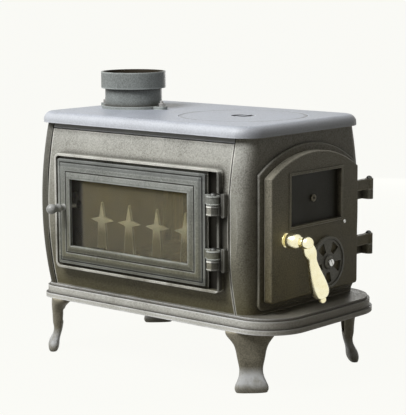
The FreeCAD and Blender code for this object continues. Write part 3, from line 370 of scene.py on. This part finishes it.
# Painted shade, uneven, in a band round the edge of the round plate along its groove
outward = vectors(tree, "DISTANCE", place["Object"], plate_middle)["Value"]
rim = span(tree, outward, (plate_radius - rim_shade_width, plate_radius), (0.0, 0.85))
uneven = span(tree, noise(tree, place, scale=24.0, detail=4.0, rough=0.6),
              (0.35, 0.6), (0.45, 1.0))
lay_over(tree, coat, combine(tree, "MULTIPLY", rim, uneven), corner_soot_and_shade)
paint(plate_black, "hot_plate")

# Flue collar: a stepped iron socket for the stove pipe, cast in one with its two-eared flange
# and held to the top plate by two studs. Its bore is black with soot.
flue_middle = Vector((-0.2115, 0.02665, 0.0))
collar_step, step_slope = 0.529, 0.001
neck_soot_radius, socket_soot_radius = 0.0540, 0.0625
flue_black = cast_iron("flue_black", pale=(0.30, 0.318, 0.305), dark=(0.125, 0.133, 0.126),
                       roughness=0.46, grain=0.45)
tree, coat, place = reopen(flue_black)
off_axis = vectors(tree, "SUBTRACT", place["Object"], flue_middle)["Vector"]
level = vectors(tree, "MULTIPLY", off_axis, (1.0, 1.0, 0.0))["Vector"]
soot_radius = span(tree, axes(tree, place["Object"])["Z"],
                   (collar_step, collar_step + step_slope),
                   (neck_soot_radius, socket_soot_radius))
past_soot = combine(tree, "SUBTRACT", vectors(tree, "LENGTH", level)["Value"], soot_radius)
lay_over(tree, coat, span(tree, past_soot, (0.0005, -0.0005)), (0.040, 0.031, 0.020))
paint(flue_black, "flue_collar")

# Collar studs: mild steel studs screwed into the top plate, with a hexagon nut on each ear of
# the flange. The nuts are chamfered on top and a few threads stand out above them.


def piece(name, shape, finish, body, slot_name, *stands_for):
    # Finished piece with its place in its mesh, riding on a body of the stove
    bmesh.ops.remove_doubles(shape, verts=shape.verts, dist=1e-7)
    bmesh.ops.recalc_face_normals(shape, faces=shape.faces)
    mesh = bpy.data.meshes.new(name)
    shape.to_mesh(mesh)
    shape.free()
    mesh.shade_smooth()
    mesh.set_sharp_from_angle(angle=math.radians(32.0))
    mesh.materials.append(finish)
    thing = bpy.data.objects.new(name, mesh)
    bpy.context.collection.objects.link(thing)
    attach(thing, body)
    if stands_for:
        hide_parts(*stands_for)


def drum(shape, foot, radius, height, sides, chamfer=0.0, steps=1):
    # Upright round or many-sided bar with its upper rim taken off
    middle = Matrix.Translation(foot + Vector((0, 0, height / 2)))
    made = bmesh.ops.create_cone(shape, cap_ends=True, segments=sides, radius1=radius,
                                 radius2=radius, depth=height, matrix=middle)
    if chamfer:
        crown = foot.z + height - chamfer / 2
        rim = {e for v in made["verts"] for e in v.link_edges
               if all(w.co.z > crown for w in e.verts)}
        bmesh.ops.bevel(shape, geom=list(rim), offset=chamfer, segments=steps, profile=0.5,
                        affect="EDGES", material=-1)


ear_reach, flange_top = 0.076, 0.492
nut_radius, nut_height, nut_chamfer = 0.0075, 0.007, 0.0009
stud_foot, stud_top, stud_chamfer = 0.4785, 0.5035, 0.0006
thread_radius, core_radius = 0.004, 0.0036
thread_pitch, thread_depth, thread_sunk = 0.00125, 0.0005, 0.001
thread_turns, thread_steps, step_rise = 3, 60, thread_pitch / 18
studs = bmesh.new()
for reach in (-ear_reach, ear_reach):
    foot = flue_middle + Vector((reach, 0, flange_top))
    drum(studs, foot, nut_radius, nut_height, sides=6, chamfer=nut_chamfer)
    drum(studs, Vector((foot.x, foot.y, stud_foot)), core_radius, stud_top - stud_foot,
         sides=24, chamfer=stud_chamfer)
    start = foot + Vector((thread_radius, 0, nut_height - thread_sunk))
    ridge = [studs.verts.new(start + Vector((-inset, 0, rise))) for inset, rise in (
        (thread_depth, 0.0), (0.0, thread_pitch / 2), (thread_depth, thread_pitch))]
    edges = [studs.edges.new(pair) for pair in zip(ridge, ridge[1:] + ridge[:1])]
    last = bmesh.ops.spin(studs, geom=ridge + edges, cent=foot, axis=(0, 0, 1),
                          dvec=(0, 0, step_rise), angle=thread_turns * 2 * math.pi,
                          steps=thread_steps)["geom_last"]
    for end in (ridge, [v for v in last if isinstance(v, bmesh.types.BMVert)]):
        studs.faces.new(end)
piece("collar_studs", studs, heat_steel, "stove_body", "steel", "collar_bolts")

# Front door frame: a flat casting with a rim, two sloped steps and a raised lip round its
# window, and two knuckles on its hinge side. Its face is blacked and its back sees the fire.
door_black = cast_iron("door_black", pale=(0.32, 0.33, 0.31), dark=(0.125, 0.129, 0.119),
                       roughness=0.42, grain=0.5, fire_side=(0, 1, 0), sheen=0.22,
                       fade_and_shade=(0.17, 0.40, 0.6))
door_low, door_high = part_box("front_door_frame")
door_right, slope, beyond = 0.1455, 0.014, 0.01
door_face = door_low.y - beyond
top_slope = ((door_low.x, door_face, door_high.z - slope),
             (door_right, landing, door_high.z + beyond))
bottom_slope = ((door_low.x, door_face, door_low.z - beyond),
                (door_right, landing, door_low.z + slope))
right_slope = ((door_right - slope, door_face, door_low.z), (door_right, landing, door_high.z))
# Painted shade on the outer slopes of the frame along its top, bottom and hinge side
darken_in(door_black, (0.045, 0.048, 0.048), top_slope, bottom_slope, right_slope, most=0.4)
paint(door_black, "front_door_frame")

# Hinge beads: raised rings that are cast round the ends of the front hinge barrels. The upper
# barrel of each pair belongs to the door and the lower to the front panel.


def bead_ring(shape, middle, radius, bead):
    upright = Matrix.Rotation(math.pi / 2, 4, "X")
    beside = Matrix.Translation(middle + Vector((radius, 0, 0)))
    profile = bmesh.ops.create_circle(shape, segments=10, radius=bead,
                                      matrix=beside @ upright)["verts"]
    edges = {e for v in profile for e in v.link_edges}
    bmesh.ops.spin(shape, geom=profile + list(edges), cent=middle, axis=(0, 0, 1),
                   angle=2 * math.pi, steps=40, use_merge=True)


hinge_axis = Vector((0.1695, -0.17335, 0.0))
pair_heights = (0.344, 0.244)
barrel_ends = (0.0026, 0.0162)
ring_radius, bead_radius = 0.0119, 0.0011
for name, way, finish, body, slot_name in (
        ("door_hinge_beads", 1, door_black, "front_door", "iron_door"),
        ("panel_hinge_beads", -1, body_black["front_panel"], "stove_body", "iron_body")):
    beads = bmesh.new()
    for level in pair_heights:
        for end in barrel_ends:
            middle = hinge_axis + Vector((0, 0, level + way * end))
            bead_ring(beads, middle, ring_radius, bead_radius)
    piece(name, beads, finish, body, slot_name)

# Door glass: a pane of clear heat-proof glass, held in the frame's rebate. Tar from the fire
# has laid a thin brown film on it, but the draught along the latch side keeps that edge clear.
pane_low, pane_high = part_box("door_glass")
clear_edge, film_edge = pane_low.x + 0.030, pane_low.x + 0.041
clear, tar_brown = (0.95, 0.93, 0.86), (0.66, 0.59, 0.38)
tar_glass, tree, look, place = new_finish("tar_glass")
spot = axes(tree, place["Object"])
uneven = span(tree, noise(tree, place, scale=26.0, detail=5.0, rough=0.65),
              (0.3, 0.7), (0.75, 1.0))
film = combine(tree, "MULTIPLY", span(tree, spot["X"], (clear_edge, film_edge)), uneven)
thinner_below = span(tree, spot["Z"], (pane_low.z, pane_high.z), (0.72, 1.0))
film = combine(tree, "MULTIPLY", film, thinner_below)
tree.links.new(ramp(tree, film, (0.0, clear), (0.95, tar_brown)), look["Base Color"])
tree.links.new(span(tree, film, (0.0, 1.0), (0.995, 0.875)), look["Transmission Weight"])
look["Roughness"].default_value = 0.03
look["IOR"].default_value = 1.12
paint(tar_glass, "door_glass")

# Sealing ropes and the glass seal: woven glass fibre, pressed into grooves behind both doors
# and round the pane, and grey with soot.
rope_grey, tree, look, place = new_finish("rope_grey")
weave = tree.nodes.new("ShaderNodeTexWave")
weave.inputs["Scale"].default_value = 140.0
weave.inputs["Distortion"].default_value = 1.5
tree.links.new(place["Object"], weave.inputs["Vector"])
strands = weave.outputs["Fac"]
tree.links.new(ramp(tree, strands, (0.2, (0.16, 0.155, 0.14)), (0.8, (0.42, 0.41, 0.38))),
               look["Base Color"])
tree.links.new(bump(tree, strands, strength=1.0, depth=0.0008), look["Normal"])
look["Roughness"].default_value = 0.95
paint(rope_grey, "front_door_rope", "end_door_rope", "glass_seal")

# Glass clips and their screws: four pressed steel clips that hold the pane from behind, each
# under one slotted pan-head screw.
paint(heat_steel, "glass_clips")


def slotted_screw(shape, seat, way, head_radius, head_height, shank_radius, shank_length, turn):
    # Pan-head screw that points back along its way from the seat, its slot turned by an angle
    old = set(shape.verts)
    slot_floor, slot_half, lip = 0.5 * head_height, 0.12 * head_radius, 0.35 * head_height
    overlap = slot_floor / 2
    drum(shape, Vector((0, 0, -shank_length)), shank_radius, shank_length + overlap, sides=24)
    drum(shape, Vector((0, 0, 0)), head_radius, slot_floor, sides=36)
    for side in (-1, 1):
        before = set(shape.verts)
        drum(shape, Vector((0, 0, overlap)), head_radius, head_height - overlap,
             sides=36, chamfer=lip, steps=4)
        fresh = [v for v in shape.verts if v not in before]
        joined = {e for v in fresh for e in v.link_edges} | {f for v in fresh for f in v.link_faces}
        cut = bmesh.ops.bisect_plane(shape, geom=fresh + list(joined), clear_inner=True,
                                     plane_co=(0, side * slot_half, 0),
                                     plane_no=(0, side, 0))["geom_cut"]
        bmesh.ops.edgeloop_fill(shape, edges=[e for e in cut if isinstance(e, bmesh.types.BMEdge)])
    upright = Vector(way).to_track_quat("Z", "Y").to_matrix().to_4x4()
    turned = Matrix.Translation(seat) @ upright @ Matrix.Rotation(turn, 4, "Z")
    bmesh.ops.transform(shape, matrix=turned, verts=[v for v in shape.verts if v not in old])


clip_low, clip_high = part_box("clip_screws")
head_radius, head_height, shank_radius = 0.0045, 0.0025, 0.0025
turn_by_height = 20.0
seat_y = clip_high.y - head_height
clip_screws = bmesh.new()
for x, turn in ((clip_low.x + head_radius, 0.3), (clip_high.x - head_radius, 1.2)):
    for z in (clip_low.z + head_radius, clip_high.z - head_radius):
        slotted_screw(clip_screws, Vector((x, seat_y, z)), (0, 1, 0), head_radius, head_height,
                      shank_radius, seat_y - clip_low.y, turn + turn_by_height * z)
piece("clip_pan_screws", clip_screws, heat_steel, "front_door", "steel", "clip_screws")

# Front knob and latch: a turned iron knob on a spindle through the frame, with a steel tongue
# that hooks behind the front panel, and its lock nut.
knob_black = cast_iron("knob_black", pale=(0.43, 0.43, 0.41), dark=(0.21, 0.21, 0.20),
                       roughness=0.28, grain=0.15, sheen=0.6)
paint(knob_black, "front_knob")
paint(heat_steel, "front_latch", "front_latch_nut")

# End door: an arched casting on the raised surround of the loading end, with a sunk panel, a
# ring of air slots and two strap hinges. It is blacked outside and sooted inside, and its
# blacking is coloured darker than the body's, as painted shade on the loading end.
end_black = cast_iron("end_black", pale=(0.39, 0.365, 0.30), dark=(0.15, 0.14, 0.11),
                      roughness=0.42, grain=0.55, fire_side=(-1, 0, 0), sheen=0.12,
                      fade_and_shade=(0.15, 0.44, 0.5), wear_and_highlight=0.0022)
# Painted shade in the sunk panel
sunk_panel = (0.230, -0.0515, 0.2970), (0.2440, 0.1047, 0.3916)
darken_in(end_black, (0.022, 0.020, 0.013), sunk_panel)
paint(end_black, "end_door")

# Heat shield fasteners: a socket-headed bolt in the middle of the sunk panel, blacked over
# with the door, and a small slotted screw at its lower corner, left bright.
paint(end_black, "liner_bolt")
bright_steel = plain_steel("bright_steel", (0.72, 0.72, 0.70), roughness=0.36)


def door_screw(name, low, high, head_radius, head_height, shank_radius, turn, stands_for):
    # Bright screw, driven into the end door from outside, in the box from low to high
    middle = (low + high) / 2
    seat = Vector((high.x - head_height, middle.y, middle.z))
    shape = bmesh.new()
    slotted_screw(shape, seat, (1, 0, 0), head_radius, head_height, shank_radius,
                  seat.x - low.x, turn)
    piece(name, shape, bright_steel, "end_door_leaf", "steel", stands_for)


screw_low, screw_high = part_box("liner_screw")
door_screw("shield_screw", screw_low, screw_high, head_radius=0.0035, head_height=0.0025,
           shank_radius=0.0025, turn=0.7, stands_for="liner_screw")

# Air spinner: a round slotted casting that turns on its screw to open or close the air slots
# behind it, with a raised rim and a boss in the middle.
# Its blacking is as dark as the end door's, painted shade included
spinner_black = cast_iron("spinner_black", pale=(0.25, 0.24, 0.205), dark=(0.11, 0.105, 0.085),
                          roughness=0.42, grain=0.45, sheen=0.25, wear_and_highlight=0.0015)
paint(spinner_black, "air_spinner")
screw_low, screw_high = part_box("spinner_screw")
door_screw("spinner_pan_screw", screw_low, screw_high, head_radius=0.007, head_height=0.0035,
           shank_radius=0.004, turn=2.1, stands_for="spinner_screw")

# Lever handle: a cast and turned brass grip that hangs from a ball and hub on a brass spindle,
# running in a flanged bush in the door. It is polished and a little worn.
brass, tree, look, place = new_finish("brass")
tarnish = noise(tree, place, scale=60.0, detail=5.0, rough=0.6)
tree.links.new(ramp(tree, tarnish, (0.25, (0.95, 0.86, 0.54)), (0.6, (1.0, 0.95, 0.70))),
               look["Base Color"])
tree.links.new(span(tree, tarnish, (0.3, 0.7), (0.30, 0.20)), look["Roughness"])
look["Metallic"].default_value = 1.0
paint(brass, "handle_spindle", "handle_grip", "handle_bush")

# End latch: a forged steel tongue on the handle's spindle that hooks behind the end casting,
# with its lock nut, both dulled by heat.
paint(heat_steel, "end_latch", "latch_nut")

# Floor and light: a plain pale sheet under and behind the stove. One broad soft light hangs
# high in front and a weak one stands low behind on the left, so the loading end is in shade.


def seen_straight(tree):
    # One for rays that show the background itself: to the camera, in polish and through glass
    path = tree.nodes.new("ShaderNodeLightPath").outputs
    seen = path["Is Camera Ray"]
    for other in ("Is Glossy Ray", "Is Transmission Ray"):
        seen = combine(tree, "MAXIMUM", seen, path[other])
    return seen


def either(tree, share, first, second, surface):
    sheet = tree.nodes.new("ShaderNodeMixShader")
    for source, socket in zip((share, first, second), sheet.inputs):
        tree.links.new(source, socket)
    tree.links.new(sheet.outputs["Shader"], surface)


floor_mesh = bpy.data.meshes.new("floor")
pale_sheet = bmesh.new()
bmesh.ops.create_grid(pale_sheet, x_segments=1, y_segments=1, size=40.0)
pale_sheet.to_mesh(floor_mesh)
pale_sheet.free()
floor = bpy.data.objects.new("floor", floor_mesh)
bpy.context.collection.objects.link(floor)
floor_pale, tree, look, place = new_finish("floor_pale")
look["Base Color"].default_value = (0.22, 0.215, 0.20, 1.0)
look["Roughness"].default_value = 0.95
lit = tree.nodes.new("ShaderNodeEmission")
lit.inputs["Color"].default_value = (1.0, 1.0, 0.96, 1.0)
either(tree, span(tree, seen_straight(tree), (0.0, 1.0), (0.0, 0.95)),
       tree.nodes["Principled BSDF"].outputs["BSDF"], lit.outputs["Emission"],
       tree.nodes["Material Output"].inputs["Surface"])
floor_mesh.materials.append(floor_pale)

world = bpy.data.worlds.new("studio")
bpy.context.scene.world = world
world.use_nodes = True
tree = world.node_tree
soft = tree.nodes["Background"]
soft.inputs["Color"].default_value = (1.0, 0.93, 0.74, 1.0)
soft.inputs["Strength"].default_value = 0.065
paper = tree.nodes.new("ShaderNodeBackground")
paper.inputs["Color"].default_value = (0.957, 0.957, 0.920, 1.0)
paper.inputs["Strength"].default_value = 1.0
either(tree, seen_straight(tree), soft.outputs["Background"], paper.outputs["Background"],
       tree.nodes["World Output"].inputs["Surface"])


def soft_box(name, place, target, size, power, colour):
    lamp = bpy.data.lights.new(name, "AREA")
    lamp.size = size
    lamp.energy = power
    lamp.color = colour
    box = bpy.data.objects.new(name, lamp)
    aim = (Vector(target) - Vector(place)).to_track_quat("-Z", "Y")
    box.matrix_world = Matrix.Translation(place) @ aim.to_matrix().to_4x4()
    bpy.context.collection.objects.link(box)


soft_box("overhead", (-0.30, -1.75, 2.35), target=(0.0, 0.0, 0.35), size=1.5, power=84.0,
         colour=(0.97, 0.985, 1.0))
soft_box("rear_left", (-1.2, 2.5, 0.26), target=(0.0, 0.0, 0.26), size=0.45, power=7.0,
         colour=(1.0, 0.99, 0.96))

# Camera: eye a little above the top plate, off the front corner of the loading end.
turn, rise, roll = math.radians(40.75), math.radians(8.71), math.radians(-0.27)
distance = 3.073
target = Vector((-0.0268, 0.02665, 0.2977))
back = Vector((math.sin(turn) * math.cos(rise), -math.cos(turn) * math.cos(rise),
               math.sin(rise)))
upright = back.to_track_quat("Z", "Y").to_matrix().to_4x4()
lens = bpy.data.cameras.new("eye")
lens.lens = 134.8
lens.sensor_width = 36.0
eye = bpy.data.objects.new("eye", lens)
eye.matrix_world = (Matrix.Translation(target + back * distance) @ upright
                    @ Matrix.Rotation(roll, 4, "Z"))
bpy.context.collection.objects.link(eye)
bpy.context.scene.camera = eye
bpy.context.scene.view_settings.view_transform = "Standard"
